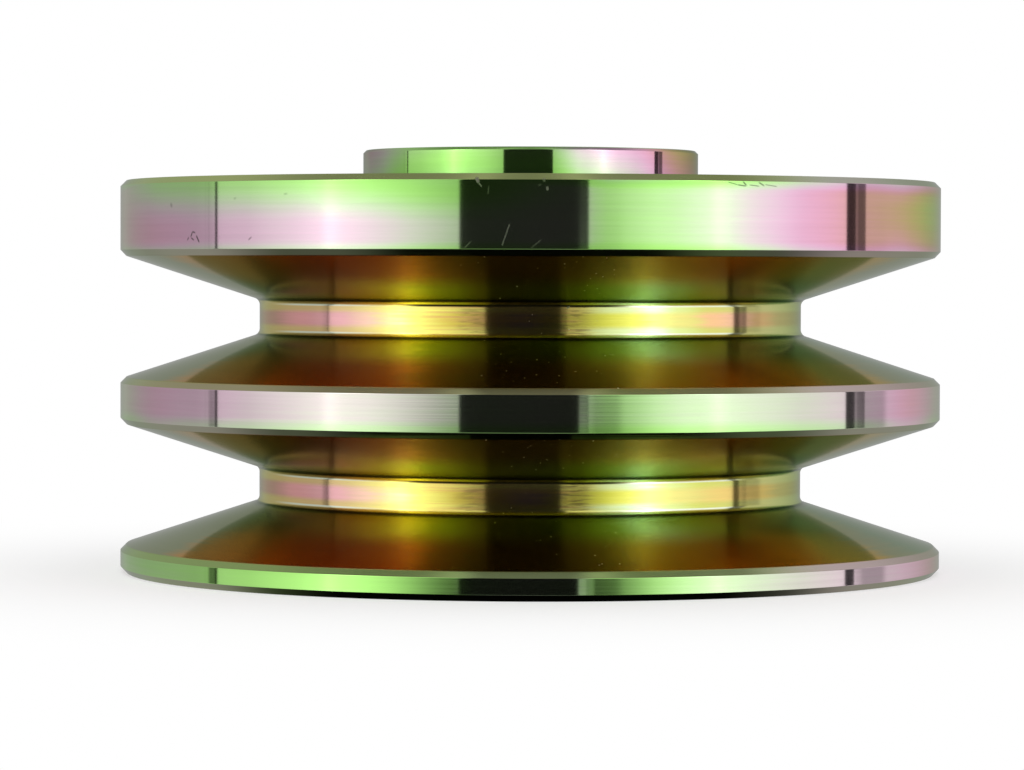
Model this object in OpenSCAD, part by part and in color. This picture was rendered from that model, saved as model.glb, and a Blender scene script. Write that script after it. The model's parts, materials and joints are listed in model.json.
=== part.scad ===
// Two-groove V-belt pulley for an alternator shaft, turned from one piece of steel.
// The axis is Z. The nut side stands on z = 0 and the hub, which meets the alternator, is on top.
// All sizes are in millimetres and all angles in degrees.

/* [Rims] */
// Outer diameter of the three rims
outer_d = 84; // [78:0.5:96]
// Width of the rim on the nut side, between its face and the first groove
nut_side_rim_w = 2.6; // [2:0.1:5]
// Width of the rim between the two grooves
middle_rim_w = 4.4; // [3:0.1:8]
// Width of the rim on the hub side, between the second groove and its face
hub_side_rim_w = 7.5; // [3:0.1:12]
// Radial depth of the chamfer on every rim edge
rim_chamfer = 0.6; // [0.2:0.1:0.9]

/* [Belt grooves] */
// Width of a groove at the outer diameter, before its edges are chamfered
groove_w = 12.7; // [11.5:0.1:14]
// Angle between the two flanks of a groove
groove_angle = 36; // [32:1:38]
// Radial depth of a groove, from the outer diameter to its bottom
groove_depth = 14.2; // [12:0.1:14.8]
// Radius of the corner between a flank and the bottom of a groove
root_fillet_r = 0.7; // [0.3:0.1:0.9]

/* [Hub] */
// Diameter of the hub that bears on the alternator
hub_d = 34.4; // [30:0.1:44]
// Height of the hub above the face of its rim
hub_h = 3.2; // [1.5:0.1:8]
// Chamfer on the outer edge of the hub
hub_chamfer = 0.3; // [0.1:0.1:0.6]
// Radius of the corner at the foot of the hub
hub_foot_r = 0.5; // [0.2:0.1:0.6]

/* [Shaft bore] */
// Diameter of the bore for the alternator shaft
bore_d = 17; // [14:0.5:20]
// Chamfer at both ends of the bore
bore_chamfer = 0.6; // [0.2:0.1:1.2]

/* [Nut recess] */
// Diameter of the recess that takes the shaft nut and its socket
recess_d = 38; // [32:0.5:42]
// Depth of the recess, down to the seat of the nut
recess_depth = 18; // [10:0.5:24]
// Radius of the corner between the wall and the seat
recess_corner_r = 1; // [0.5:0.1:2]
// Chamfer on the mouth of the recess
recess_chamfer = 1; // [0.4:0.1:1.6]

/* [Hidden] */
$fn = 180;

// How far an outline reaches past the edge of the material that it adds to or cuts
overlap = 2;
outer_r = outer_d / 2;
root_r = outer_r - groove_depth;
hub_r = hub_d / 2;
bore_r = bore_d / 2;
recess_r = recess_d / 2;
flank_tilt = groove_angle / 2;
body_h = nut_side_rim_w + groove_w + middle_rim_w + groove_w + hub_side_rim_w;
total_h = body_h + hub_h;
groove_pitch = groove_w + middle_rim_w;
groove_heights = [for (i = [0, 1]) nut_side_rim_w + groove_w / 2 + i * groove_pitch];

// Half the width of a groove at the distance r from the axis
function half_width(r) = groove_w / 2 - (outer_r - r) * tan(flank_tilt);

// Outline of the turned blank: the rim body with its outer edges chamfered, and the hub on top
module blank_section() {
    polygon([
        [0, 0],
        [outer_r - rim_chamfer, 0],
        [outer_r, rim_chamfer],
        [outer_r, body_h - rim_chamfer],
        [outer_r - rim_chamfer, body_h],
        [0, body_h]
    ]);
    polygon([
        [0, body_h - overlap],
        [hub_r, body_h - overlap],
        [hub_r, total_h - hub_chamfer],
        [hub_r - hub_chamfer, total_h],
        [0, total_h]
    ]);
    difference() {
        translate([hub_r - overlap, body_h - overlap]) square([overlap + hub_foot_r, overlap + hub_foot_r]);
        translate([hub_r + hub_foot_r, body_h + hub_foot_r]) circle(hub_foot_r);
    }
}

// Outline cut away for one belt groove, centred on its own middle plane
module groove_section() {
    fillet_c = half_width(root_r) - root_fillet_r * tan(45 - flank_tilt / 2);
    flank_foot = [root_r + root_fillet_r * (1 - sin(flank_tilt)), fillet_c + root_fillet_r * cos(flank_tilt)];
    flank_top = [outer_r - rim_chamfer, half_width(outer_r - rim_chamfer)];
    edge = [outer_r, flank_top[1] + rim_chamfer];
    half = [
        [outer_r + overlap, edge[1]],
        edge,
        flank_top,
        flank_foot,
        [root_r, fillet_c]
    ];
    mirrored = [for (i = [len(half) - 1:-1:0]) [half[i][0], -half[i][1]]];
    polygon(concat(half, mirrored));
    for (side = [-1, 1])
        translate([root_r + root_fillet_r, side * fillet_c]) circle(root_fillet_r);
}

// Outline cut away for the shaft, with a chamfer at each end of the bore
module bore_section() {
    polygon([
        [0, recess_depth - overlap],
        [bore_r + bore_chamfer + overlap, recess_depth - overlap],
        [bore_r, recess_depth + bore_chamfer],
        [bore_r, total_h - bore_chamfer],
        [bore_r + bore_chamfer + overlap, total_h + overlap],
        [0, total_h + overlap]
    ]);
}

// Outline cut away for the nut, with a rounded corner at its seat and a chamfered mouth
module recess_section() {
    corner = [recess_r - recess_corner_r, recess_depth - recess_corner_r];
    polygon([
        [0, -overlap],
        [recess_r + recess_chamfer + overlap, -overlap],
        [recess_r, recess_chamfer],
        [recess_r, corner[1]],
        [corner[0], recess_depth],
        [0, recess_depth]
    ]);
    translate(corner) circle(recess_corner_r);
}

// The whole pulley, turned about Z
module pulley() {
    color("darkkhaki") rotate_extrude() difference() {
        blank_section();
        for (z = groove_heights) translate([0, z]) groove_section();
        bore_section();
        recess_section();
    }
}

pulley();
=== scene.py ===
import json
import math

import bmesh
import bpy
from bpy.props import FloatProperty, FloatVectorProperty, IntProperty, PointerProperty
from mathutils import Matrix, Vector


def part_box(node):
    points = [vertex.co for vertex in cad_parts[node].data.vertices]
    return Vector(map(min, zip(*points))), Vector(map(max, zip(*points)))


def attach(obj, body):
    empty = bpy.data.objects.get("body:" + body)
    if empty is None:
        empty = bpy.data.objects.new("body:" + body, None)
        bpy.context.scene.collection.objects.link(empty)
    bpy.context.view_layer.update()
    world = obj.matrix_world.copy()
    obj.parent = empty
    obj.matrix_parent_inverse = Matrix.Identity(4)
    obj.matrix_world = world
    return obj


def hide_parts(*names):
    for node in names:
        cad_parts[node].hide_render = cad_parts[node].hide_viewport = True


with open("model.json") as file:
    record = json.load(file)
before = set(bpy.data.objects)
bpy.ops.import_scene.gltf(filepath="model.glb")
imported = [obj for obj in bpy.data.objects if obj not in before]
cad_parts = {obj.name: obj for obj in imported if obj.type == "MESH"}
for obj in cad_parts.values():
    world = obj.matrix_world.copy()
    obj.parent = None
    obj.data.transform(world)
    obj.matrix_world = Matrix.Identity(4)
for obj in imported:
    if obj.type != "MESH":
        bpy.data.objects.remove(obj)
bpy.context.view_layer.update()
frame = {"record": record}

# The looks of a two-groove V-belt pulley: turned steel under a yellow iridescent chromate.
# Sizes are in metres, the axis is Z, and the pulley stands on its nut side at z = 0.
# An angle around the axis is 0 towards the camera and grows towards +X.

bl_info = {
    "name": "Alternator Pulley",
    "version": (1, 0, 0),
    "blender": (4, 5, 0),
    "location": "View3D > Sidebar > Pulley",
    "description": "Turned and chromated two-groove V-belt pulley with its studio stage",
    "category": "Object",
}

MM = 0.001
SENSOR_WIDTH = 36.0

HIGH = Vector(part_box("pulley")[1])
MOUNTS = {mount["name"]: mount for mount in frame["record"]["mounts"]}
GROOVES = ("belt_groove_nut_side", "belt_groove_hub_side")

# How far the plating's film makes light lag, in nanometres, by the angle around each band in degrees
FILM_RANGE = 2200.0
HUB_SIDE_RIM_FILM = (
    (-180, 1840), (-75, 1835), (-62, 1850), (-48, 1820), (-36, 1805), (-28, 1792), (-20, 1765), (-11, 1725),
    (-7, 1715), (6, 1725), (9, 1650), (12, 1645), (20, 1690), (28, 1750), (36, 1825), (45, 1910), (60, 1975),
    (75, 2040), (120, 1900), (180, 1840))
MIDDLE_RIM_FILM = (
    (-180, 1850), (-75, 1775), (-62, 1830), (-50, 1800), (-38, 1765), (-12, 1740), (-7, 1720), (6, 1715),
    (9, 1655), (12, 1655), (20, 1705), (42, 1755), (54, 1800), (64, 1870), (76, 1800), (180, 1850))
NUT_SIDE_RIM_FILM = (
    (-180, 1760), (-70, 1700), (-50, 1640), (-25, 1610), (-10, 1615), (-7, 1690), (6, 1700), (9, 1620),
    (22, 1670), (34, 1725), (45, 1775), (60, 1800), (75, 1850), (180, 1760))
HUB_FILM = (
    (-180, 1850), (-70, 1765), (-58, 1700), (-46, 1610), (0, 1595), (8, 1620), (15, 1710), (25, 1755),
    (40, 1810), (52, 1910), (68, 1950), (180, 1850))
# How much the lag grows for each millimetre up the hub and out over the faces, and where that starts
HUB_FILM_GROWTH = 32.0
FACE_FILM_GROWTH = 9.0
FACE_FILM_AT_AXIS = 1470.0
RECESS_FILM = 640.0

# How the lag falls across a rim: the heights in millimetres where the fall starts and where it is full,
# and the fall at both
BROAD_FALL = (34.8, 39.7, 0.0, 170.0)
UPPER_EDGE_FALL = (38.2, 39.4, 0.0, 120.0)
LOWER_EDGE_FALL = (33.8, 32.5, 0.0, 90.0)
MIDDLE_RIM_FALL = (17.0, 15.8, 0.0, 60.0)
# The same for a fall to both sides of one height, by the distance from it
BOW_HEIGHT = 36.4
BOW_FALL = (0.6, 3.6, 0.0, 75.0)
# The angles over which the broad fall grows from its right and from its left end
BROAD_FALL_RIGHT_END = (12.0, -15.0)
BROAD_FALL_LEFT_END = (-85.0, -58.0)

# Colours in a groove by the angle around it: the plating's tint, partly painted reflection and shade
ROOT = (
    (-180, (0.5, 0.34, 0.2)), (-69, (0.64, 0.34, 0.3)), (-56, (0.95, 0.45, 0.45)), (-42, (1.0, 0.54, 0.56)),
    (-35, (0.95, 0.62, 0.47)), (-30, (0.87, 0.7, 0.33)), (-24, (0.77, 0.72, 0.16)), (-16, (0.72, 0.58, 0.1)),
    (-10, (0.65, 0.45, 0.12)), (0, (0.5, 0.34, 0.3)), (8, (0.6, 0.54, 0.09)), (15, (0.62, 0.62, 0.08)),
    (20, (0.7, 0.7, 0.12)), (25, (0.72, 0.72, 0.22)), (33, (0.77, 0.7, 0.22)))
HUB_SIDE_ROOT = (
    *ROOT, (39, (0.92, 0.56, 0.29)), (46, (0.9, 0.53, 0.36)), (55, (0.68, 0.44, 0.2)),
    (66, (0.5, 0.42, 0.18)), (180, (0.5, 0.34, 0.2)))
NUT_SIDE_ROOT = (
    *ROOT, (46, (0.85, 0.62, 0.2)), (56, (0.68, 0.5, 0.15)), (66, (0.5, 0.44, 0.16)),
    (180, (0.5, 0.34, 0.2)))
ROOT_EDGE = (
    (-180, (0.6, 0.6, 0.3)), (-45, (0.75, 0.62, 0.2)), (-20, (0.85, 0.8, 0.18)), (10, (0.8, 0.75, 0.2)),
    (17, (0.62, 0.75, 0.4)), (24, (0.6, 0.8, 0.6)), (30, (0.62, 0.76, 0.3)), (38, (0.6, 0.68, 0.15)),
    (60, (0.55, 0.6, 0.25)), (180, (0.6, 0.6, 0.3)))
INNER_FLANK = (
    (-180, (0.2, 0.34, 0.2)), (-62, (0.3, 0.28, 0.12)), (-50, (0.25, 0.13, 0.01)), (-36, (0.43, 0.28, 0.01)),
    (-25, (0.6, 0.56, 0.04)), (-17, (0.35, 0.45, 0.01)), (-9, (0.31, 0.34, 0.01)), (9, (0.27, 0.37, 0.01)),
    (14, (0.28, 0.39, 0.04)), (23, (0.44, 0.6, 0.38)), (34, (0.31, 0.42, 0.05)), (46, (0.25, 0.17, 0.01)),
    (62, (0.5, 0.4, 0.12)), (80, (0.2, 0.34, 0.2)))
OUTER_FLANK = (
    (-180, (0.26, 0.36, 0.24)), (-64, (0.4, 0.36, 0.24)), (-54, (0.9, 0.32, 0.04)), (-38, (0.62, 0.18, 0.02)),
    (-29, (0.42, 0.12, 0.01)), (-20, (0.5, 0.14, 0.01)), (-13, (0.3, 0.11, 0.01)), (-8, (0.26, 0.14, 0.01)),
    (10, (0.32, 0.17, 0.01)), (19, (0.53, 0.3, 0.01)), (27, (0.56, 0.27, 0.01)), (35, (0.44, 0.18, 0.01)),
    (41, (0.68, 0.28, 0.02)), (48, (0.88, 0.4, 0.03)), (54, (0.88, 0.42, 0.04)), (64, (0.45, 0.38, 0.24)),
    (75, (0.26, 0.36, 0.24)))
PEACH_LINE = (0.72, 0.45, 0.15, 1)
# Painted dark streaks, which draw the tent's reflected dark gap raggedly into the roots
PAINTED_DARK_STREAK = (0.2, 0.14, 0.06, 1)
# Painted highlight and painted shade along the roots' corners
PAINTED_CORNER_HIGHLIGHT = (0.85, 0.92, 0.75, 1)
PAINTED_CORNER_SHADE = (0.02, 0.02, 0.01, 1)

# Painted reflections on the rim chamfers, which face up or down, dark with painted shade in front on those
# that face down, and the painted shade on the hub's sides
NUT_SIDE_EDGE_PAINTED_REFLECTION = (0.36, 0.44, 0.18, 1)
MIDDLE_EDGE_PAINTED_REFLECTION = (0.42, 0.4, 0.18, 1)
HUB_SIDE_EDGE_PAINTED_REFLECTION = (0.54, 0.55, 0.25, 1)
RIGHT_EDGE_PAINTED_REFLECTION = (0.47, 0.36, 0.36, 1)
HUB_SIDE_RIGHT_EDGE_PAINTED_REFLECTION = (0.38, 0.4, 0.33, 1)
UNDER_EDGE_PAINTED_SHADE_IN_FRONT = (0.035, 0.028, 0.018, 1)
UNDER_EDGE_PAINTED_REFLECTION_BESIDE = (0.29, 0.25, 0.22, 1)
HUB_SHADE = (0.05, 0.04, 0.03, 1)
# How strongly the painted reflections on the chamfers cover the plating's own colour
UPPER_EDGE_COVER = 0.8
LOWER_EDGE_COVER = 0.9
# Where these painted reflections change: at heights in millimetres, and at degrees to either side of the
# front
NUT_SIDE_EDGE_END = (3.0, 5.0)
HUB_SIDE_EDGE_START = (35.0, 38.0)
UNDER_EDGE_SIDES = (33.0, 50.0)
# The same for the shade on the hub, with its strength at both ends
HUB_SHADE_SIDES = (40.0, 75.0, 0.0, 0.4)
# How far a normal leans up or down where the painted reflection on a chamfer starts and where it is full
CHAMFER_LEAN = (0.45, 0.6)

# Zones around the axis: the first and the last angle, and how softly the zone ends, in degrees
BOWED_ZONE = (55.0, 140.0, 6.0)
PEACH_ZONE = (-22.0, 9.5, 4.0)
# Where the roots carry painted dark streaks
LEFT_DARK_STREAK_ZONE = (-14.0, -9.0, 2.5)
RIGHT_DARK_STREAK_ZONE = (6.0, 11.5, 2.5)
# Where the roots' corners carry a line of painted highlight
LEFT_LIT_ZONE = (-62.0, -36.0, 8.0)
RIGHT_LIT_ZONE = (19.0, 47.0, 4.0)
# Where the roots' upper corners carry a line of painted shade and a painted glint
DARK_CORNER_ZONE = (-26.0, 19.0, 4.0)
# Where the up-facing chamfers take their right-hand painted reflections
RIGHT_EDGE_ZONE = (36.0, 140.0, 10.0)
GRAIN_ZONE = (-9.0, 14.0, 5.0)

# The lit line is a painted highlight, the dark line painted shade and the glint line a painted glint
# Lines along a root's corners: from and to, as distances from the root's middle, and how softly they end
LIT_CORNER_LINE = (1.28, 1.44, 0.08)
DARK_CORNER_LINE = (1.28, 1.5, 0.08)
GLINT_LINE = (1.6, 1.72, 0.05)
# Distances from the root's middle where a colour starts and is full, and its strength at both
ROOT_EDGE_RISE = (0.42, 1.0, 0.0, 0.75)
# Past this the roots' corners take painted shade
DARK_CORNER_RISE = (1.6, 1.75, 0.0, 0.9)

# Turned lines: their pitch in millimetres, how fast they change around the axis, and their detail
PLATING_LINES = (0.22, 1.4, 2.0)
DARK_STREAK_LINES = (0.2, 14.0, 2.0)
SHADE_LINES = (0.35, 2.0, 4.0)
RELIEF_LINES = (0.18, 1.2, 2.0)
# Clouds and grains: how many there are to the metre, and their detail
CLOUDS = (70.0, 3.0)
GRAINS = (2600.0, 1.0)
# Levels of the noise where a line or a grain starts to show and is full, and its strength at both
PEACH_RISE = (-0.1, 0.35, 0.0, 0.7)
DARK_STREAK_RISE = (-0.05, 0.3, 0.0, 0.6)
GRAIN_RISE = (0.5, 0.62, 0.0, 0.8)
# How strongly the painted dark streaks of the left zone show, where the right one is 1
LEFT_DARK_STREAK_SHARE = 0.6
# How much a step outward counts in the turned lines, where a step upward counts 1
OUTWARD_STEP = 0.73
# Brightness of the turned lines, as its mean and its change, and the bump that they make
LINE_BRIGHTNESS = 0.97
LINE_CHANGE = 0.07
RELIEF_STRENGTH = 0.15
RELIEF_DEPTH = 0.01 * MM

# Facing of a flank, from 0 to 1, where light starts to skim over it and where it fully does
SKIMMING = (0.72, 0.83)
# Distances out from the root over which the foot of a flank gets rough, in millimetres
FLANK_FOOT = (3.7, 1.7)

# Light of the tent by the angle around the pulley, and its gaps as start, end and the share left there
TENT_RANGE = 2.0
TENT_LIGHT = (
    (-180, 0.28), (-165, 0.28), (-150, 0.42), (-126, 0.38), (-100, 0.38), (-93, 0.42), (-90, 0.6),
    (-79, 0.66), (-63, 0.9), (-56, 1.02), (-53, 1.22), (-49, 1.05), (-42, 0.98), (-30, 0.8), (-18, 0.55),
    (14, 0.52), (25, 0.8), (32, 0.96), (46, 1.02), (49.5, 1.2), (53, 1.04), (66, 0.92), (75, 0.82),
    (95, 0.78), (97, 0.6), (120, 0.6), (131, 0.56), (150, 0.42), (165, 0.28))
TENT_GAPS = (
    (-17.95, 14.7, 0.03), (-91.5, -90.5, 0.05), (-94.3, -93.9, 0.75), (-95.6, -95.3, 0.85),
    (91.7, 95.6, 0.05))
TENT_GAP_SOFTNESS = 0.2
# Smaller changes of the tent's light, in this order: the first and the last angle and how softly the zone
# ends, the elevations between which the change grows, the change, and whether it is a share or is added
TENT_CHANGES = (
    (95.6, 96.3, 0.2, -2.8, -1.0, -0.7, "SHARE"), (96.3, 99.9, 0.2, -2.8, -1.0, -0.8, "SHARE"),
    (12.4, 14.5, 0.15, 4.0, 2.0, 0.18, "ADDED"), (-93.8, -91.0, 0.3, 4.5, 2.0, -0.4, "SHARE"),
    (99.0, 110.0, 2.0, 4.5, 2.0, -0.4, "SHARE"), (15.2, 23.0, 1.6, 4.5, 2.0, -0.4, "SHARE"),
    (-94.0, -91.0, 0.3, 0.5, -2.5, -0.6, "SHARE"), (12.4, 16.4, 0.3, -1.0, -2.8, 0.17, "ADDED"))
# The wide gap low in front: the angles to either side and the elevations over which it grows
FRONT_GAP_SIDES = (42.0, 16.0)
FRONT_GAP_ELEVATIONS = (4.0, -3.0)
FRONT_GAP_CHANGE = -0.9
# The lamps at both sides: their zones, the elevation that they leave out, how far from it in degrees they
# start and are full, and the share of light that they add
LEFT_LAMP_ZONE = (-60.0, -46.0, 6.0)
RIGHT_LAMP_ZONE = (43.0, 57.0, 6.0)
LAMP_GAP = 1.5
LAMP_GROWTH = (7.5, 16.0)
LAMP_CHANGE = 1.6
# Light from overhead and from below, and the elevations over which it takes over
OVERHEAD = (45.0, 65.0)
LIGHT_OVERHEAD = 0.22
BELOW = (-12.0, -25.0)
LIGHT_FROM_BELOW = 0.5

# Where the dark place under the pulley ends: to either side in degrees, and past its edge in millimetres
SHADE_SIDES = (28.0, 52.0)
SHADE_FADE = (-4.0, 8.0)
# Distances in millimetres over which the seen floor turns white, and its share of white at the first
FLOOR_FADE = (40.0, 100.0, 0.5)

# Marks on the hub-side rim: angle and height at both ends, in degrees and millimetres, width and strength
SCRATCHES = (
    (-6.9, 39.45, -6.6, 39.0, 0.22, 1.0), (-6.6, 39.0, -6.2, 38.6, 0.1, 0.7),
    (-5.3, 38.7, -5.4, 37.9, 0.12, 0.35), (1.1, 38.85, 1.2, 38.7, 0.3, 0.4),
    (2.1, 38.65, 2.15, 38.3, 0.17, 0.9), (1.65, 39.4, 1.8, 39.1, 0.2, 0.6),
    (-3.6, 33.15, -2.65, 35.15, 0.1, 0.55), (-8.4, 32.9, -7.5, 33.6, 0.08, 0.35),
    (0.1, 32.95, 1.4, 33.75, 0.1, 0.35))
SCUFFS = (
    (-56.5, 37.0, -56.2, 37.2, 0.35, 0.35), (-51.4, 34.0, -51.0, 34.5, 0.12, 0.8),
    (-51.0, 34.5, -50.4, 34.4, 0.12, 0.7), (-51.3, 33.9, -50.7, 33.7, 0.12, 0.7),
    (-50.1, 34.1, -49.5, 33.5, 0.14, 0.8), (-52.2, 33.7, -51.9, 33.95, 0.12, 0.7),
    (-39.7, 33.7, -39.2, 33.95, 0.12, 0.5), (-33.7, 38.0, -33.2, 38.05, 0.15, 0.25),
    (-42.4, 37.6, -42.0, 37.7, 0.15, 0.25), (26.2, 39.2, 27.6, 38.95, 0.08, 0.6),
    (27.6, 38.95, 28.8, 38.85, 0.1, 0.7), (28.4, 39.25, 28.9, 38.9, 0.12, 0.7),
    (29.4, 38.95, 30.8, 38.85, 0.08, 0.6), (30.8, 39.2, 31.6, 38.9, 0.12, 0.6),
    (31.8, 39.0, 33.6, 38.85, 0.08, 0.5))
# How softly a mark ends, in millimetres, and the share of its width that shows in full
MARK_SOFTNESS = 0.15
MARK_CORE = 0.3


def mount_radius(name):
    """The wall radius of a round mount."""
    return MOUNTS[name]["dims"]["r_mm"] * MM


def mount_height(name):
    """The height of a mount's reference point."""
    return MOUNTS[name]["pos_m"][2]


class PulleySizes(bpy.types.PropertyGroup):
    """Sizes of the turned body"""

    outer_radius: FloatProperty(
        name="Outer Radius", description="Radius of the three rims", default=round(HIGH.x, 4), unit="LENGTH")
    total_height: FloatProperty(
        name="Total Height", description="From the nut-side face to the hub's face",
        default=round(HIGH.z, 4), unit="LENGTH")
    nut_side_rim: FloatProperty(
        name="Nut Side Rim", description="Width of the rim below the first groove",
        default=2.6 * MM, unit="LENGTH")
    groove_width: FloatProperty(
        name="Groove Width",
        description="Width of a groove at the outer radius, before its edges are chamfered",
        default=12.7 * MM, unit="LENGTH")
    groove_angle: FloatProperty(
        name="Groove Angle", description="Angle between the two flanks of a groove",
        default=math.radians(36), subtype="ANGLE")
    groove_depth: FloatProperty(
        name="Groove Depth", description="Radial depth of a groove", default=14.2 * MM, unit="LENGTH")
    root_fillet: FloatProperty(
        name="Root Fillet", description="Radius of the corners at the bottom of a groove",
        default=0.7 * MM, unit="LENGTH")
    rim_chamfer: FloatProperty(
        name="Rim Chamfer", description="Radial depth of the chamfer on the rim edges",
        default=0.6 * MM, unit="LENGTH")
    lower_chamfer_angle: FloatProperty(
        name="Lower Chamfer Angle", description="Slope of the rim chamfers that face down",
        default=math.radians(46.5), subtype="ANGLE")
    hub_radius: FloatProperty(
        name="Hub Radius", description="Outer radius of the hub", default=17.2 * MM, unit="LENGTH")
    hub_height: FloatProperty(
        name="Hub Height", description="Height of the hub above the rim's face",
        default=3.2 * MM, unit="LENGTH")
    hub_chamfer: FloatProperty(
        name="Hub Chamfer", description="Chamfer on the hub's outer edge", default=0.3 * MM, unit="LENGTH")
    hub_foot: FloatProperty(
        name="Hub Foot", description="Radius of the corner at the hub's foot",
        default=0.5 * MM, unit="LENGTH")
    bore_chamfer: FloatProperty(
        name="Bore Chamfer", description="Chamfer at both ends of the bore", default=0.6 * MM, unit="LENGTH")
    recess_corner: FloatProperty(
        name="Recess Corner", description="Radius of the corner at the nut's seat",
        default=1.0 * MM, unit="LENGTH")
    recess_chamfer: FloatProperty(
        name="Recess Chamfer", description="Chamfer on the mouth of the recess",
        default=1.0 * MM, unit="LENGTH")
    edge_break: FloatProperty(
        name="Edge Break", description="Radius to which the turned edges are broken",
        default=0.06 * MM, unit="LENGTH")
    steps: IntProperty(
        name="Steps", description="Faces around the pulley", default=384, min=64)


class PlatingFinish(bpy.types.PropertyGroup):
    """Colours and gloss of the plating"""

    mean_colour: FloatVectorProperty(
        name="Mean Colour", description="Colour of the plating without interference",
        default=(0.53, 0.547, 0.375), size=3, subtype="COLOR")
    colour_swing: FloatVectorProperty(
        name="Colour Swing", description="How far interference moves red, green and blue",
        default=(0.375, 0.325, 0.56), size=3, min=0, max=1)
    colour_waves: FloatVectorProperty(
        name="Colour Waves", description="Wavelengths of red, green and blue in nanometres",
        default=(622, 544, 452), size=3)
    cloud_lag: FloatProperty(
        name="Cloud Lag", description="Change of the film's lag in soft clouds, in nanometres", default=28)
    line_lag: FloatProperty(
        name="Line Lag", description="Change of the film's lag in fine turned lines, in nanometres",
        default=14)
    cloud_turn: FloatProperty(
        name="Cloud Turn", description="How far clouds draw the groove colours aside, in degrees", default=6)
    line_turn: FloatProperty(
        name="Line Turn", description="How far turned lines draw the groove colours aside, in degrees",
        default=4)
    skimming_tint: FloatVectorProperty(
        name="Skimming Tint", description="Colour of reflections that skim over the plating",
        default=(0.68, 0.77, 0.62), size=3, subtype="COLOR")
    scratch_colour: FloatVectorProperty(
        name="Scratch Colour", description="Colour of the bare metal in a scratch",
        default=(0.55, 0.57, 0.42), size=3, subtype="COLOR")
    scuff_colour: FloatVectorProperty(
        name="Scuff Colour", description="Colour of the dark marks on the hub-side rim",
        default=(0.03, 0.03, 0.025), size=3, subtype="COLOR")
    rim_roughness: FloatProperty(name="Rim Roughness", description="Roughness of the rims", default=0.1)
    edge_roughness: FloatProperty(
        name="Edge Roughness", description="Roughness of the chamfers that face down", default=0.04)
    root_roughness: FloatProperty(
        name="Root Roughness", description="Roughness of the groove bottoms", default=0.17)
    flank_roughness: FloatProperty(
        name="Flank Roughness", description="Roughness of the flanks to light that comes in steeply",
        default=0.2)
    grazing_roughness: FloatProperty(
        name="Grazing Roughness", description="Roughness of the flanks to light that skims over them",
        default=0.08)
    foot_roughness: FloatProperty(
        name="Foot Roughness", description="Least roughness of the flanks at their foot", default=0.16)
    scratch_roughness: FloatProperty(
        name="Scratch Roughness", description="Roughness of a scratch", default=0.5)


class StudioSettings(bpy.types.PropertyGroup):
    """The camera, the light tent and the floor"""

    camera_distance: FloatProperty(
        name="Camera Distance", description="From the pulley's axis to the camera",
        default=0.42837, unit="LENGTH")
    camera_height: FloatProperty(
        name="Camera Height", description="Height of the camera above the floor",
        default=0.03101, unit="LENGTH")
    focal_length: FloatProperty(
        name="Focal Length", description="Lens in millimetres", default=146.27)
    pan: FloatProperty(
        name="Pan", description="Turn of the camera to its left", default=0.00433, subtype="ANGLE")
    tilt: FloatProperty(
        name="Tilt", description="Turn of the camera down from the level", default=0.02793, subtype="ANGLE")
    roll: FloatProperty(
        name="Roll", description="Turn of the camera about its line of sight",
        default=0.00288, subtype="ANGLE")
    tent_radius: FloatProperty(
        name="Tent Radius", description="From the pulley's axis to the light tent",
        default=0.37, unit="LENGTH")
    tent_level: FloatProperty(
        name="Tent Level", description="Strength of the light tent as the plating reflects it", default=1.45)
    floor_radius: FloatProperty(
        name="Floor Radius", description="Radius of the pale floor", default=1.5, unit="LENGTH")
    floor_colour: FloatVectorProperty(
        name="Floor Colour", description="Colour of the pale floor",
        default=(0.96, 0.96, 0.96), size=3, subtype="COLOR")
    shade_radius: FloatProperty(
        name="Shade Radius", description="Radius of the dark place that the pulley's lower edges reflect",
        default=0.048, unit="LENGTH")
    shade_depth: FloatProperty(
        name="Shade Depth", description="How far below the floor the dark place lies",
        default=4 * MM, unit="LENGTH")


def bevel_corner(profile, corner, size, segments):
    """Rounds one corner of the outline, or cuts it straight with one segment."""
    bmesh.ops.bevel(
        profile, geom=[corner], offset=size, offset_type="OFFSET", segments=segments, profile=0.5,
        affect="VERTICES", material=-1)


def tangent_length(radius, before, corner, after):
    """How far from a corner an arc of this radius starts on both of the corner's edges."""
    angle = (before - corner).angle(after - corner)
    return radius / math.tan(angle / 2)


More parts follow.
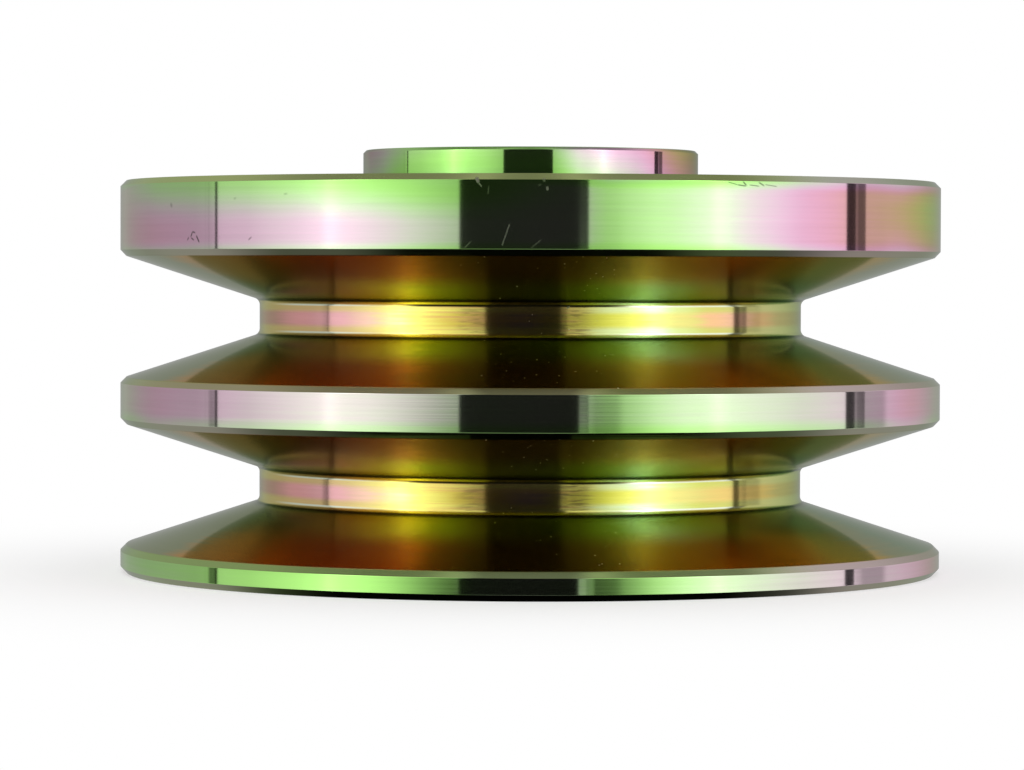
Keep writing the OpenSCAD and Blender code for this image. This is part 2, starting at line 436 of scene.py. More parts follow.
def pulley_outline(sizes):
    """Corners of the pulley's half section, each with the radius that it is rounded to."""
    outer = sizes.outer_radius
    chamfer = sizes.rim_chamfer
    slope = math.tan(sizes.groove_angle / 2)
    root = outer - sizes.groove_depth
    body_top = sizes.total_height - sizes.hub_height
    recess = mount_radius("nut_recess")
    bore = mount_radius("shaft_bore")
    seat = mount_height("nut_seat")
    edge = sizes.edge_break
    lower_chamfer = chamfer * math.tan(sizes.lower_chamfer_angle)

    def half_width(radius):
        return sizes.groove_width / 2 - (outer - radius) * slope

    corners = [
        (recess + sizes.recess_chamfer, 0, edge),
        (outer - chamfer, 0, edge),
        (outer, lower_chamfer, edge),
    ]
    mouth = half_width(outer - chamfer)
    for middle in map(mount_height, GROOVES):
        corners += [
            (outer, middle - mouth - chamfer, edge),
            (outer - chamfer, middle - mouth, edge),
            (root, middle - half_width(root), sizes.root_fillet),
            (root, middle + half_width(root), sizes.root_fillet),
            (outer - chamfer, middle + mouth, edge),
            (outer, middle + mouth + lower_chamfer, edge),
        ]
    corners += [
        (outer, body_top - chamfer, edge),
        (outer - chamfer, body_top, edge),
        (sizes.hub_radius, body_top, sizes.hub_foot),
        (sizes.hub_radius, sizes.total_height - sizes.hub_chamfer, edge),
        (sizes.hub_radius - sizes.hub_chamfer, sizes.total_height, edge),
        (bore + sizes.bore_chamfer, sizes.total_height, edge),
        (bore, sizes.total_height - sizes.bore_chamfer, edge),
        (bore, seat + sizes.bore_chamfer, edge),
        (bore + sizes.bore_chamfer, seat, edge),
        (recess, seat, sizes.recess_corner),
        (recess, sizes.recess_chamfer, edge),
    ]
    return corners


def turn_pulley(sizes):
    """The pulley as a lathe makes it: its half section with all corners rounded, spun about Z."""
    body = bmesh.new()
    corners = pulley_outline(sizes)
    places = [Vector((radius, 0, height)) for radius, height, _ in corners]
    verts = [body.verts.new(place) for place in places]
    for start, end in zip(verts, verts[1:] + verts[:1]):
        body.edges.new((start, end))
    for index, (_, _, rounding) in enumerate(corners):
        before, place, after = places[index - 1], places[index], places[(index + 1) % len(places)]
        segments = 8 if rounding > sizes.edge_break else 3
        bevel_corner(body, verts[index], tangent_length(rounding, before, place, after), segments)
    bmesh.ops.spin(
        body, geom=body.verts[:] + body.edges[:], cent=(0, 0, 0), axis=(0, 0, 1), dvec=(0, 0, 0),
        angle=2 * math.pi, steps=sizes.steps, use_merge=True, use_duplicate=False)
    bmesh.ops.recalc_face_normals(body, faces=body.faces)
    return body


def mesh_object(name, body, material):
    """Puts a finished bmesh in the scene as a smooth object at the origin."""
    mesh = bpy.data.meshes.new(name)
    body.to_mesh(mesh)
    body.free()
    mesh.shade_smooth()
    mesh.materials.append(material)
    piece = bpy.data.objects.new(name, mesh)
    bpy.context.collection.objects.link(piece)
    return piece


class NodeSheet:
    """Adds and links the nodes of one material or world."""

    def __init__(self, tree):
        self.tree = tree

    def add(self, kind, inputs=None, **settings):
        """A new node with these inputs, each a value or another node's output, and these settings."""
        node = self.tree.nodes.new(kind)
        for name, value in settings.items():
            setattr(node, name, value)
        for socket, value in (inputs or {}).items():
            self.feed(node.inputs[socket], value)
        return node

    def feed(self, socket, value):
        """Links an output to the socket, or sets the socket to a value."""
        if isinstance(value, bpy.types.NodeSocket):
            self.tree.links.new(value, socket)
        else:
            socket.default_value = value

    def math(self, operation, *values, clamp=False):
        """The result of one operation on these values."""
        node = self.add("ShaderNodeMath", operation=operation, use_clamp=clamp)
        for socket, value in zip(node.inputs, values):
            self.feed(socket, value)
        return node.outputs[0]

    def rise(self, value, start, end, low=0.0, high=1.0):
        """Goes smoothly from low to high as the value goes from start to end."""
        node = self.add("ShaderNodeMapRange", {
            "Value": value, "From Min": start, "From Max": end, "To Min": low, "To Max": high},
            interpolation_type="SMOOTHSTEP")
        return node.outputs[0]

    def inside(self, value, low, high, soft):
        """1 where the value is between low and high, and 0 outside."""
        above = self.rise(value, low - soft, low + soft)
        below = self.rise(value, high - soft, high + soft, 1.0, 0.0)
        return self.math("MULTIPLY", above, below)

    def changed(self, level, mask, share):
        """The level, changed by this share of itself where the mask is 1."""
        return self.math("MULTIPLY", level, self.math("MULTIPLY_ADD", mask, share, 1.0))

    def blend(self, factor, first, second):
        """The first value where the factor is 0, and the second where it is 1."""
        node = self.add("ShaderNodeMix", {"Factor": factor}, data_type="FLOAT")
        self.feed(node.inputs[2], first)
        self.feed(node.inputs[3], second)
        return node.outputs[0]

    def blend_colours(self, factor, first, second, how="MIX"):
        """The first colour, covered by the second as far as the factor says."""
        node = self.add(
            "ShaderNodeMix", {"Factor": factor}, data_type="RGBA", blend_type=how, clamp_result=how != "MIX")
        self.feed(node.inputs[6], first)
        self.feed(node.inputs[7], second)
        return node.outputs[2]

    def colours_around(self, angle, stops, interpolation="EASE"):
        """Colours that run softly through the (angle, colour) stops all around the axis."""
        share = self.add("ShaderNodeMapRange", {"Value": angle, "From Min": -180.0, "From Max": 180.0})
        ramp = self.add("ShaderNodeValToRGB", {"Fac": share.outputs[0]})
        ramp.color_ramp.interpolation = interpolation
        while len(ramp.color_ramp.elements) > 1:
            ramp.color_ramp.elements.remove(ramp.color_ramp.elements[-1])
        for index, (degrees, colour) in enumerate(stops):
            place = (degrees + 180) / 360
            stop = ramp.color_ramp.elements.new(place) if index else ramp.color_ramp.elements[0]
            stop.position = place
            stop.color = (*colour, 1)
        return ramp.outputs["Color"]

    def around(self, angle, stops, highest, interpolation="CARDINAL"):
        """A curve through the (angle, height) stops all around the axis, with no height over the highest."""
        greys = [(degrees, (height / highest,) * 3) for degrees, height in stops]
        return self.math("MULTIPLY", self.colours_around(angle, greys, interpolation), highest)

    def noise(self, place, scale, detail):
        """Noise from about -1 to 1."""
        node = self.add("ShaderNodeTexNoise", {"Vector": place, "Scale": scale, "Detail": detail})
        return self.math("MULTIPLY_ADD", node.outputs[0], 2.0, -1.0)


def new_material(name):
    """An empty node material, its sheet and its output node."""
    material = bpy.data.materials.new(name)
    material.use_nodes = True
    material.node_tree.nodes.clear()
    sheet = NodeSheet(material.node_tree)
    return material, sheet, sheet.add("ShaderNodeOutputMaterial")


class TurnedPlace:
    """Where a shaded point lies on a turned piece: angles in degrees, radius and height in millimetres."""

    def __init__(self, sheet):
        self.position = sheet.add("ShaderNodeTexCoord").outputs["Object"]
        x, y, z = sheet.add("ShaderNodeSeparateXYZ", {"Vector": self.position}).outputs
        self.angle = sheet.math("DEGREES", sheet.math("ARCTAN2", x, sheet.math("MULTIPLY", y, -1.0)))
        self.aside = sheet.math("ABSOLUTE", self.angle)
        squares = sheet.math("ADD", sheet.math("MULTIPLY", x, x), sheet.math("MULTIPLY", y, y))
        radius = sheet.math("SQRT", squares)
        self.radius = sheet.math("DIVIDE", radius, MM)
        self.height = sheet.math("DIVIDE", z, MM)
        self.direction = (sheet.math("DIVIDE", x, radius), sheet.math("DIVIDE", y, radius))


def turning_noise(sheet, place, pitch, length, detail):
    """Noise that runs around the axis in fine lines, a pitch in millimetres apart."""
    across = sheet.math("MULTIPLY_ADD", place.radius, OUTWARD_STEP, place.height)
    lines = sheet.add("ShaderNodeCombineXYZ", {
        "X": sheet.math("MULTIPLY", place.direction[0], length),
        "Y": sheet.math("MULTIPLY", place.direction[1], length),
        "Z": sheet.math("DIVIDE", across, pitch)})
    return sheet.noise(lines.outputs[0], 1.0, detail)


class PulleyBands:
    """Radii and heights that the finish goes by, in millimetres."""

    def __init__(self, sizes):
        self.outer = sizes.outer_radius / MM
        self.mouth = (sizes.outer_radius - sizes.rim_chamfer) / MM
        self.root = (sizes.outer_radius - sizes.groove_depth) / MM
        self.hub = sizes.hub_radius / MM
        self.recess = mount_radius("nut_recess") / MM
        self.bore = mount_radius("shaft_bore") / MM
        self.seat = mount_height("nut_seat") / MM
        self.face = (sizes.total_height - sizes.hub_height) / MM
        self.hub_middle = (sizes.total_height - sizes.hub_height / 2) / MM
        self.grooves = [mount_height(name) / MM for name in GROOVES]
        nut_side = sizes.nut_side_rim / 2 / MM
        hub_side = (self.grooves[1] + sizes.groove_width / 2 / MM + self.face) / 2
        self.rims = [nut_side, sum(self.grooves) / 2, hub_side]


def pulley_masks(sheet, place, bands):
    """Where on the pulley a shaded point is. Its numbers are millimetres past a radius or a height."""
    radius, height = place.radius, place.height
    masks = {}
    walled = sheet.inside(height, bands.rims[0], bands.rims[2], 0.02)
    core = (bands.recess + bands.root) / 2
    masks["groove"] = sheet.math("MULTIPLY", sheet.inside(radius, core, bands.mouth + 0.05, 0.04), walled)
    masks["root"] = sheet.rise(radius, bands.root + 1.1, bands.root + 0.3)
    masks["outer_flank"] = sheet.rise(radius, bands.root + 3.2, bands.root + 8.7)
    middle = sheet.rise(height, bands.rims[1] - 0.5, bands.rims[1] + 0.5, *bands.grooves)
    masks["root_side"] = sheet.math("ABSOLUTE", sheet.math("SUBTRACT", height, middle))
    masks["upper_corner"] = sheet.math("GREATER_THAN", height, middle)
    above_face = sheet.rise(height, bands.face - 0.3, bands.face + 0.1)
    masks["hub"] = sheet.math("MULTIPLY", sheet.rise(radius, bands.hub + 0.6, bands.hub + 0.2), above_face)
    top_end = sheet.rise(height, bands.face - 0.05, bands.face)
    ends = sheet.math("MAXIMUM", top_end, sheet.rise(height, 0.1, 0.05))
    flat = sheet.math("MULTIPLY", ends, sheet.rise(radius, bands.mouth, bands.mouth - 0.1))
    hub_side = sheet.math(
        "MULTIPLY", sheet.rise(radius, bands.hub - 0.3, bands.hub - 0.2),
        sheet.rise(radius, bands.hub + 0.4, bands.hub + 0.3))
    masks["face"] = sheet.math("MULTIPLY", flat, sheet.math("SUBTRACT", 1.0, hub_side))
    bore = sheet.rise(radius, bands.bore + 0.5, bands.bore + 0.1)
    recess = sheet.math(
        "MULTIPLY", sheet.rise(radius, bands.recess + 1.0, bands.recess + 0.2),
        sheet.rise(height, bands.seat + 1.0, bands.seat + 0.5))
    masks["inside"] = sheet.math("MAXIMUM", bore, recess)
    rim = sheet.rise(radius, bands.mouth - 0.1, bands.mouth - 0.04)
    normal = sheet.add("ShaderNodeTexCoord").outputs["Normal"]
    facing_up = sheet.add("ShaderNodeSeparateXYZ", {"Vector": normal}).outputs["Z"]
    facing_down = sheet.math("MULTIPLY", facing_up, -1.0)
    masks["lower_edge"] = sheet.math("MULTIPLY", rim, sheet.rise(facing_down, *CHAMFER_LEAN))
    masks["upper_edge"] = sheet.math("MULTIPLY", rim, sheet.rise(facing_up, *CHAMFER_LEAN))
    return masks


def hub_side_rim_film(sheet, place):
    """The film's lag on the rim next to the hub, which also changes over its height."""
    film = sheet.around(place.angle, HUB_SIDE_RIM_FILM, FILM_RANGE)
    left = sheet.math(
        "MULTIPLY", sheet.rise(place.angle, *BROAD_FALL_RIGHT_END),
        sheet.rise(place.angle, *BROAD_FALL_LEFT_END))
    broad = sheet.math("MULTIPLY", sheet.rise(place.height, *BROAD_FALL), left)
    narrow = sheet.rise(place.height, *UPPER_EDGE_FALL)
    film = sheet.math("SUBTRACT", film, sheet.math("MAXIMUM", broad, narrow))
    film = sheet.math("SUBTRACT", film, sheet.rise(place.height, *LOWER_EDGE_FALL))
    off_middle = sheet.math("ABSOLUTE", sheet.math("SUBTRACT", place.height, BOW_HEIGHT))
    bowed = sheet.math(
        "MULTIPLY", sheet.rise(off_middle, *BOW_FALL), sheet.inside(place.angle, *BOWED_ZONE))
    return sheet.math("SUBTRACT", film, bowed)


def plating_film(sheet, place, masks, bands):
    """The film's lag in nanometres, over the whole pulley but its grooves."""
    nut_side = sheet.around(place.angle, NUT_SIDE_RIM_FILM, FILM_RANGE)
    middle = sheet.around(place.angle, MIDDLE_RIM_FILM, FILM_RANGE)
    middle = sheet.math("SUBTRACT", middle, sheet.rise(place.height, *MIDDLE_RIM_FALL))
    film = sheet.blend(sheet.rise(place.height, bands.grooves[0], bands.grooves[0] + 1.0), nut_side, middle)
    past_groove = sheet.rise(place.height, bands.grooves[1] - 1.0, bands.grooves[1])
    film = sheet.blend(past_groove, film, hub_side_rim_film(sheet, place))
    up_hub = sheet.math("SUBTRACT", place.height, bands.hub_middle)
    hub = sheet.math(
        "MULTIPLY_ADD", up_hub, HUB_FILM_GROWTH, sheet.around(place.angle, HUB_FILM, FILM_RANGE))
    film = sheet.blend(masks["hub"], film, hub)
    face = sheet.math("MULTIPLY_ADD", place.radius, FACE_FILM_GROWTH, FACE_FILM_AT_AXIS)
    film = sheet.blend(masks["face"], film, face)
    return sheet.blend(masks["inside"], film, RECESS_FILM)


def film_colour(sheet, lag, plating):
    """Colour of the plating where its film makes light lag by this much."""
    channels = []
    for mean, swing, wave in zip(plating.mean_colour, plating.colour_swing, plating.colour_waves):
        turn = sheet.math("COSINE", sheet.math("MULTIPLY", lag, 2 * math.pi / wave))
        channels.append(sheet.math("MULTIPLY_ADD", turn, mean * swing, mean, clamp=True))
    return sheet.add("ShaderNodeCombineColor", dict(zip(("Red", "Green", "Blue"), channels))).outputs[0]


def root_colour(sheet, place, masks, bands, angle, lines):
    """Colour on the bottom of a groove: the plating's tint with partly painted reflection and shade, and
    painted dark streaks.
    """
    roots = [sheet.colours_around(angle, stops) for stops in (NUT_SIDE_ROOT, HUB_SIDE_ROOT)]
    root = sheet.blend_colours(sheet.rise(place.height, bands.rims[1] - 0.5, bands.rims[1] + 0.5), *roots)
    edges = sheet.rise(masks["root_side"], *ROOT_EDGE_RISE)
    root = sheet.blend_colours(edges, root, sheet.colours_around(angle, ROOT_EDGE))
    peach = sheet.math(
        "MULTIPLY", sheet.rise(lines, *PEACH_RISE), sheet.inside(place.angle, *PEACH_ZONE))
    root = sheet.blend_colours(peach, root, PEACH_LINE)
    # Painted dark streaks at the edges of the reflected dark gap
    streaks = sheet.rise(turning_noise(sheet, place, *DARK_STREAK_LINES), *DARK_STREAK_RISE)
    streak_zones = sheet.math("MULTIPLY", sheet.inside(place.angle, *LEFT_DARK_STREAK_ZONE), LEFT_DARK_STREAK_SHARE)
    streak_zones = sheet.math("MAXIMUM", streak_zones, sheet.inside(place.angle, *RIGHT_DARK_STREAK_ZONE))
    return sheet.blend_colours(sheet.math("MULTIPLY", streaks, streak_zones), root, PAINTED_DARK_STREAK)


def root_corners(sheet, place, masks, root):
    """The root's colour with lines of painted highlight and painted shade along its corners, painted shade
    past them, and a thin painted glint.
    """
    side = masks["root_side"]
    lit = sheet.math(
        "MAXIMUM", sheet.inside(place.angle, *LEFT_LIT_ZONE), sheet.inside(place.angle, *RIGHT_LIT_ZONE))
    lit = sheet.math("MULTIPLY", sheet.inside(side, *LIT_CORNER_LINE), lit)
    root = sheet.blend_colours(lit, root, PAINTED_CORNER_HIGHLIGHT)
    upper = sheet.math("MULTIPLY", masks["upper_corner"], sheet.inside(place.angle, *DARK_CORNER_ZONE))
    dark = sheet.math("MULTIPLY", sheet.inside(side, *DARK_CORNER_LINE), upper)
    root = sheet.blend_colours(dark, root, PAINTED_CORNER_SHADE)
    glint = sheet.math("MULTIPLY", sheet.inside(side, *GLINT_LINE), upper)
    outside = sheet.math("SUBTRACT", sheet.rise(side, *DARK_CORNER_RISE), glint)
    return sheet.blend_colours(outside, root, PAINTED_CORNER_SHADE)


def groove_colour(sheet, place, masks, bands, angle, lines):
    """Colour in the grooves, the plating's tint with partly painted reflection and shade, at angles that
    clouds and fine lines have drawn aside.
    """
    inner, outer = (sheet.colours_around(angle, stops) for stops in (INNER_FLANK, OUTER_FLANK))
    flank = sheet.blend_colours(masks["outer_flank"], inner, outer)
    root = root_colour(sheet, place, masks, bands, angle, lines)
    return sheet.blend_colours(masks["root"], flank, root_corners(sheet, place, masks, root))


def edge_painted_reflections(sheet, place, masks, colour):
    """The colour with painted reflections on the rim chamfers that face up and on those that face down, which
    are dark with painted shade in front.
    """
    past_nut_side = sheet.rise(place.height, *NUT_SIDE_EDGE_END)
    on_hub_side = sheet.rise(place.height, *HUB_SIDE_EDGE_START)
    left = sheet.blend_colours(past_nut_side, NUT_SIDE_EDGE_PAINTED_REFLECTION, MIDDLE_EDGE_PAINTED_REFLECTION)
    left = sheet.blend_colours(on_hub_side, left, HUB_SIDE_EDGE_PAINTED_REFLECTION)
    right = sheet.blend_colours(on_hub_side, RIGHT_EDGE_PAINTED_REFLECTION, HUB_SIDE_RIGHT_EDGE_PAINTED_REFLECTION)
    upper = sheet.blend_colours(sheet.inside(place.angle, *RIGHT_EDGE_ZONE), left, right)
    upper_edge = sheet.math("MULTIPLY", masks["upper_edge"], UPPER_EDGE_COVER)
    colour = sheet.blend_colours(upper_edge, colour, upper)
    beside = sheet.rise(place.aside, *UNDER_EDGE_SIDES)
    under = sheet.blend_colours(beside, UNDER_EDGE_PAINTED_SHADE_IN_FRONT, UNDER_EDGE_PAINTED_REFLECTION_BESIDE)
    lower_edge = sheet.math("MULTIPLY", masks["lower_edge"], LOWER_EDGE_COVER)
    return sheet.blend_colours(lower_edge, colour, under)


def mark_mask(sheet, place, radius, marks):
    """How strongly the marks of the hub-side rim show."""
    found = None
    for start_angle, start_height, end_angle, end_height, width, depth in marks:
        run = math.radians(end_angle - start_angle) * radius
        climb = end_height - start_height
        length = math.hypot(run, climb)
        u = sheet.math(
            "MULTIPLY_ADD", place.angle, math.radians(radius), -math.radians(start_angle) * radius)
        w = sheet.math("SUBTRACT", place.height, start_height)
        along = sheet.math("MULTIPLY_ADD", u, run / length, sheet.math("MULTIPLY", w, climb / length))
        across = sheet.math("MULTIPLY_ADD", u, -climb / length, sheet.math("MULTIPLY", w, run / length))
        narrow = sheet.rise(sheet.math("ABSOLUTE", across), width, MARK_CORE * width)
        narrow = sheet.math("MULTIPLY", narrow, depth)
        mark = sheet.math("MULTIPLY", sheet.inside(along, 0.0, length, MARK_SOFTNESS), narrow)
        found = sheet.math("MAXIMUM", found, mark) if found else mark
    return sheet.math("MULTIPLY", found, sheet.rise(place.radius, radius - 1.0, radius - 0.8))


def scratch_mask(sheet, place, masks, radius):
    """How strongly the scratches of the rim and the light grains of the grooves show."""
    grains = sheet.rise(sheet.noise(place.position, *GRAINS), *GRAIN_RISE)
    strip = sheet.math("MULTIPLY", masks["groove"], sheet.inside(place.angle, *GRAIN_ZONE))
    grains = sheet.math("MULTIPLY", grains, strip)
    return sheet.math("MAXIMUM", mark_mask(sheet, place, radius, SCRATCHES), grains)


def plating_roughness(sheet, place, masks, bands, scratches, plating):
    """Roughness over the whole pulley."""
    skimming = sheet.add("ShaderNodeLayerWeight", {"Blend": 0.5}).outputs["Facing"]
    flank = sheet.rise(skimming, *SKIMMING, plating.flank_roughness, plating.grazing_roughness)
    above_root = sheet.math("SUBTRACT", place.radius, bands.root)
    foot = sheet.rise(above_root, *FLANK_FOOT, 0.0, plating.foot_roughness)
    flank = sheet.math("MAXIMUM", flank, foot)
    roughness = sheet.blend(masks["root"], flank, plating.root_roughness)
    roughness = sheet.blend(masks["groove"], plating.rim_roughness, roughness)
    roughness = sheet.blend(masks["lower_edge"], roughness, plating.edge_roughness)
    return sheet.blend(scratches, roughness, plating.scratch_roughness)


def chromated_steel(plating, sizes):
    """Turned steel with its iridescent plating, and painted reflection and shade in the grooves, on the
    chamfers and on the hub.
    """
    material, sheet, output = new_material("chromated_steel")
    place = TurnedPlace(sheet)
    bands = PulleyBands(sizes)
    masks = pulley_masks(sheet, place, bands)
    clouds = sheet.noise(place.position, *CLOUDS)
    lines = turning_noise(sheet, place, *PLATING_LINES)

    film = plating_film(sheet, place, masks, bands)
    film = sheet.math("MULTIPLY_ADD", clouds, plating.cloud_lag, film)
    film = sheet.math("MULTIPLY_ADD", lines, plating.line_lag, film)
    angle = sheet.math("MULTIPLY_ADD", clouds, plating.cloud_turn, place.angle)
    angle = sheet.math("MULTIPLY_ADD", lines, plating.line_turn, angle)
    groove = groove_colour(sheet, place, masks, bands, angle, lines)
    colour = sheet.blend_colours(masks["groove"], film_colour(sheet, film, plating), groove)
    colour = edge_painted_reflections(sheet, place, masks, colour)
    hub_side = sheet.math("MULTIPLY", masks["hub"], sheet.rise(place.aside, *HUB_SHADE_SIDES))
    colour = sheet.blend_colours(hub_side, colour, HUB_SHADE)
    shade = turning_noise(sheet, place, *SHADE_LINES)
    shade = sheet.math("MULTIPLY_ADD", shade, LINE_CHANGE, LINE_BRIGHTNESS)
    colour = sheet.blend_colours(1.0, colour, shade, "MULTIPLY")

    scratches = scratch_mask(sheet, place, masks, bands.outer)
    scuffs = mark_mask(sheet, place, bands.outer, SCUFFS)
    colour = sheet.blend_colours(scuffs, colour, (*plating.scuff_colour, 1))
    colour = sheet.blend_colours(scratches, colour, (*plating.scratch_colour, 1))
    roughness = plating_roughness(sheet, place, masks, bands, scratches, plating)

    around = sheet.add("ShaderNodeVectorMath", operation="CROSS_PRODUCT")
    around.inputs[0].default_value = (0, 0, 1)
    sheet.feed(around.inputs[1], place.position)
    relief = sheet.add("ShaderNodeBump", {
        "Height": turning_noise(sheet, place, *RELIEF_LINES), "Strength": RELIEF_STRENGTH,
        "Distance": RELIEF_DEPTH})
    steel = sheet.add("ShaderNodeBsdfPrincipled", {
        "Base Color": colour, "Metallic": 1.0, "Roughness": roughness,
        "Specular Tint": (*plating.skimming_tint, 1), "Anisotropic": 1.0, "Anisotropic Rotation": 0.25,
        "Tangent": around.outputs[0], "Normal": relief.outputs[0]})
    sheet.feed(output.inputs["Surface"], steel.outputs[0])
    return material


def tent_level(sheet, place):
    """How bright the tent is, by the angle around the axis and the elevation above the floor."""
    level = sheet.around(place.angle, TENT_LIGHT, TENT_RANGE, "LINEAR")
    elevation = sheet.math("DEGREES", sheet.math("ARCTAN2", place.height, place.radius))
    for first, last, share in TENT_GAPS:
        level = sheet.changed(level, sheet.inside(place.angle, first, last, TENT_GAP_SOFTNESS), share - 1.0)
    front = sheet.math(
        "MULTIPLY", sheet.rise(place.aside, *FRONT_GAP_SIDES), sheet.rise(elevation, *FRONT_GAP_ELEVATIONS))
    level = sheet.changed(level, front, FRONT_GAP_CHANGE)
    for first, last, soft, start, end, change, kind in TENT_CHANGES:
        zone = sheet.inside(place.angle, first, last, soft)
        zone = sheet.math("MULTIPLY", zone, sheet.rise(elevation, start, end))
        if kind == "SHARE":
            level = sheet.changed(level, zone, change)
        else:
            level = sheet.math("MULTIPLY_ADD", zone, change, level)
    level = sheet.blend(sheet.rise(elevation, *OVERHEAD), level, LIGHT_OVERHEAD)
    level = sheet.blend(sheet.rise(elevation, *BELOW), level, LIGHT_FROM_BELOW)
    lamps = sheet.math(
        "ADD", sheet.inside(place.angle, *LEFT_LAMP_ZONE), sheet.inside(place.angle, *RIGHT_LAMP_ZONE))
    off_gap = sheet.math("ABSOLUTE", sheet.math("SUBTRACT", elevation, LAMP_GAP))
    lamps = sheet.math("MULTIPLY", lamps, sheet.rise(off_gap, *LAMP_GROWTH))
    return sheet.changed(level, lamps, LAMP_CHANGE)


def tent_light(settings):
    """The light that comes from the tent around the pulley."""
    material, sheet, output = new_material("tent_light")
    level = sheet.math("MULTIPLY", tent_level(sheet, TurnedPlace(sheet)), settings.tent_level)
    glow = sheet.add("ShaderNodeEmission", {"Color": (1, 1, 1, 1), "Strength": level})
    sheet.feed(output.inputs["Surface"], glow.outputs[0])
    return material


def seen_only_in_gloss(piece):
    """Leaves a piece of the stage out of everything but glossy reflections."""
    piece.visible_camera = False
    piece.visible_diffuse = False
    piece.visible_shadow = False
    piece.visible_transmission = False
    piece.visible_volume_scatter = False


def add_tent(settings):
    """A dome of light that only reflections see."""
    dome = bmesh.new()
    bmesh.ops.create_uvsphere(dome, u_segments=96, v_segments=48, radius=settings.tent_radius)
    seen_only_in_gloss(mesh_object("light_tent", dome, tent_light(settings)))


def add_contact_shade(settings):
    """The dark place under the pulley, which only its lower edges reflect."""
    material, sheet, output = new_material("contact_shade")
    place = TurnedPlace(sheet)
    past_edge = sheet.math("SUBTRACT", place.radius, settings.shade_radius / MM)
    beside = sheet.rise(place.aside, *SHADE_SIDES)
    fade = sheet.math("MAXIMUM", sheet.rise(past_edge, *SHADE_FADE), beside)
    clear = sheet.add("ShaderNodeBsdfTransparent")
    dark = sheet.add("ShaderNodeEmission", {"Color": (0.01, 0.01, 0.01, 1), "Strength": 1.0})
    mix = sheet.add("ShaderNodeMixShader", {"Fac": fade, 1: dark.outputs[0], 2: clear.outputs[0]})
    sheet.feed(output.inputs["Surface"], mix.outputs[0])
    disc = bmesh.new()
    bmesh.ops.create_circle(disc, cap_ends=True, segments=64, radius=2 * settings.shade_radius)
    bmesh.ops.translate(disc, vec=(0, 0, -settings.shade_depth), verts=disc.verts)
    seen_only_in_gloss(mesh_object("contact_shade", disc, material))


def add_floor(settings):
    """A plain pale floor, which runs out into the white background."""
    material, sheet, output = new_material("floor")
    place = TurnedPlace(sheet)
    paper = sheet.add(
        "ShaderNodeBsdfPrincipled", {"Base Color": (*settings.floor_colour, 1), "Roughness": 0.9})
    white = sheet.add("ShaderNodeEmission", {"Color": (1, 1, 1, 1), "Strength": 1.0})
    seen = sheet.add("ShaderNodeLightPath").outputs["Is Camera Ray"]
    far = sheet.math("MULTIPLY", sheet.rise(place.radius, *FLOOR_FADE), seen)
    mix = sheet.add("ShaderNodeMixShader", {"Fac": far, 1: paper.outputs[0], 2: white.outputs[0]})
    sheet.feed(output.inputs["Surface"], mix.outputs[0])
    ground = bmesh.new()
    bmesh.ops.create_circle(ground, cap_ends=True, segments=96, radius=settings.floor_radius)
    floor = mesh_object("floor", ground, material)
    floor.visible_glossy = False


def add_world():
    """A white world, the soft light on the floor and the background behind it."""
    world = bpy.data.worlds.new("studio")
    bpy.context.scene.world = world
    world.use_nodes = True
    world.node_tree.nodes.clear()
    sheet = NodeSheet(world.node_tree)
    backdrop = sheet.add("ShaderNodeBackground", {"Color": (1, 1, 1, 1), "Strength": 1.0})
    output = sheet.add("ShaderNodeOutputWorld")
    sheet.feed(output.inputs["Surface"], backdrop.outputs[0])


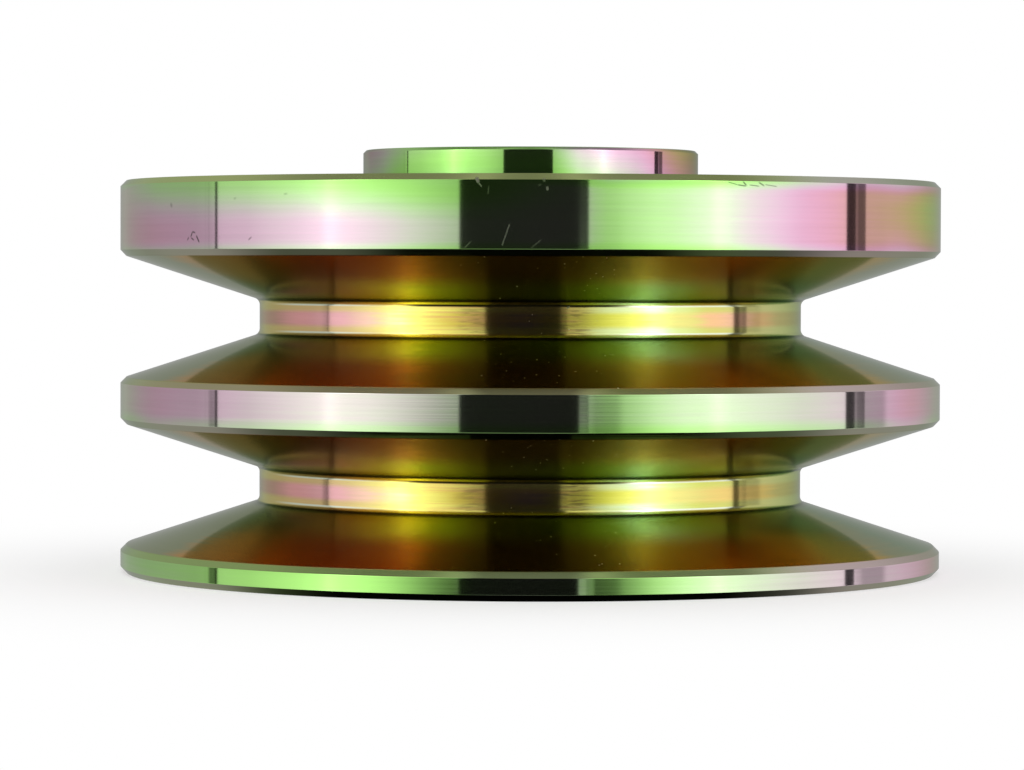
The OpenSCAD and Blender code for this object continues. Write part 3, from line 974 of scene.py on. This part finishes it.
def add_camera(settings):
    """The camera, where the photograph was taken from."""
    lens = bpy.data.cameras.new("camera")
    lens.lens = settings.focal_length
    lens.sensor_width = SENSOR_WIDTH
    lens.sensor_fit = "HORIZONTAL"
    lens.clip_start = 0.01
    camera = bpy.data.objects.new("camera", lens)
    bpy.context.collection.objects.link(camera)
    upright = Matrix.Rotation(math.pi / 2 - settings.tilt, 4, "X")
    turned = Matrix.Rotation(settings.pan, 4, "Z") @ upright @ Matrix.Rotation(settings.roll, 4, "Z")
    camera.matrix_world = Matrix.Translation((0, -settings.camera_distance, settings.camera_height)) @ turned
    bpy.context.scene.camera = camera


class PULLEY_OT_add_body(bpy.types.Operator):
    """Turn the pulley's body from its half section"""
    bl_idname = "pulley.add_body"
    bl_label = "Pulley Body"

    def execute(self, context):
        sizes = context.scene.pulley_sizes
        material = chromated_steel(context.scene.pulley_plating, sizes)
        body = mesh_object("pulley_body", turn_pulley(sizes), material)
        weights = body.modifiers.new("weighted_normals", "WEIGHTED_NORMAL")
        weights.keep_sharp = True
        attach(body, "root")
        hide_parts("pulley")
        return {"FINISHED"}


class PULLEY_OT_add_stage(bpy.types.Operator):
    """Add the floor, the lights and the camera"""
    bl_idname = "pulley.add_stage"
    bl_label = "Studio Stage"

    def execute(self, context):
        settings = context.scene.pulley_studio
        add_camera(settings)
        add_floor(settings)
        add_contact_shade(settings)
        add_tent(settings)
        add_world()
        context.scene.view_settings.view_transform = "Standard"
        return {"FINISHED"}


class PULLEY_PT_panel(bpy.types.Panel):
    """Lists the pulley's operators"""
    bl_idname = "PULLEY_PT_panel"
    bl_label = "Alternator Pulley"
    bl_space_type = "VIEW_3D"
    bl_region_type = "UI"
    bl_category = "Pulley"

    def draw(self, context):
        for operator in OPERATORS:
            self.layout.operator(operator.bl_idname)


OPERATORS = (PULLEY_OT_add_body, PULLEY_OT_add_stage)
GROUPS = {"pulley_sizes": PulleySizes, "pulley_plating": PlatingFinish, "pulley_studio": StudioSettings}
CLASSES = (*GROUPS.values(), *OPERATORS, PULLEY_PT_panel)


def register():
    for cls in CLASSES:
        bpy.utils.register_class(cls)
    for name, group in GROUPS.items():
        setattr(bpy.types.Scene, name, PointerProperty(type=group))


def unregister():
    for name in GROUPS:
        delattr(bpy.types.Scene, name)
    for cls in reversed(CLASSES):
        bpy.utils.unregister_class(cls)


def main():
    register()
    bpy.ops.pulley.add_stage()
    bpy.ops.pulley.add_body()


if __name__ == "__main__":
    main()
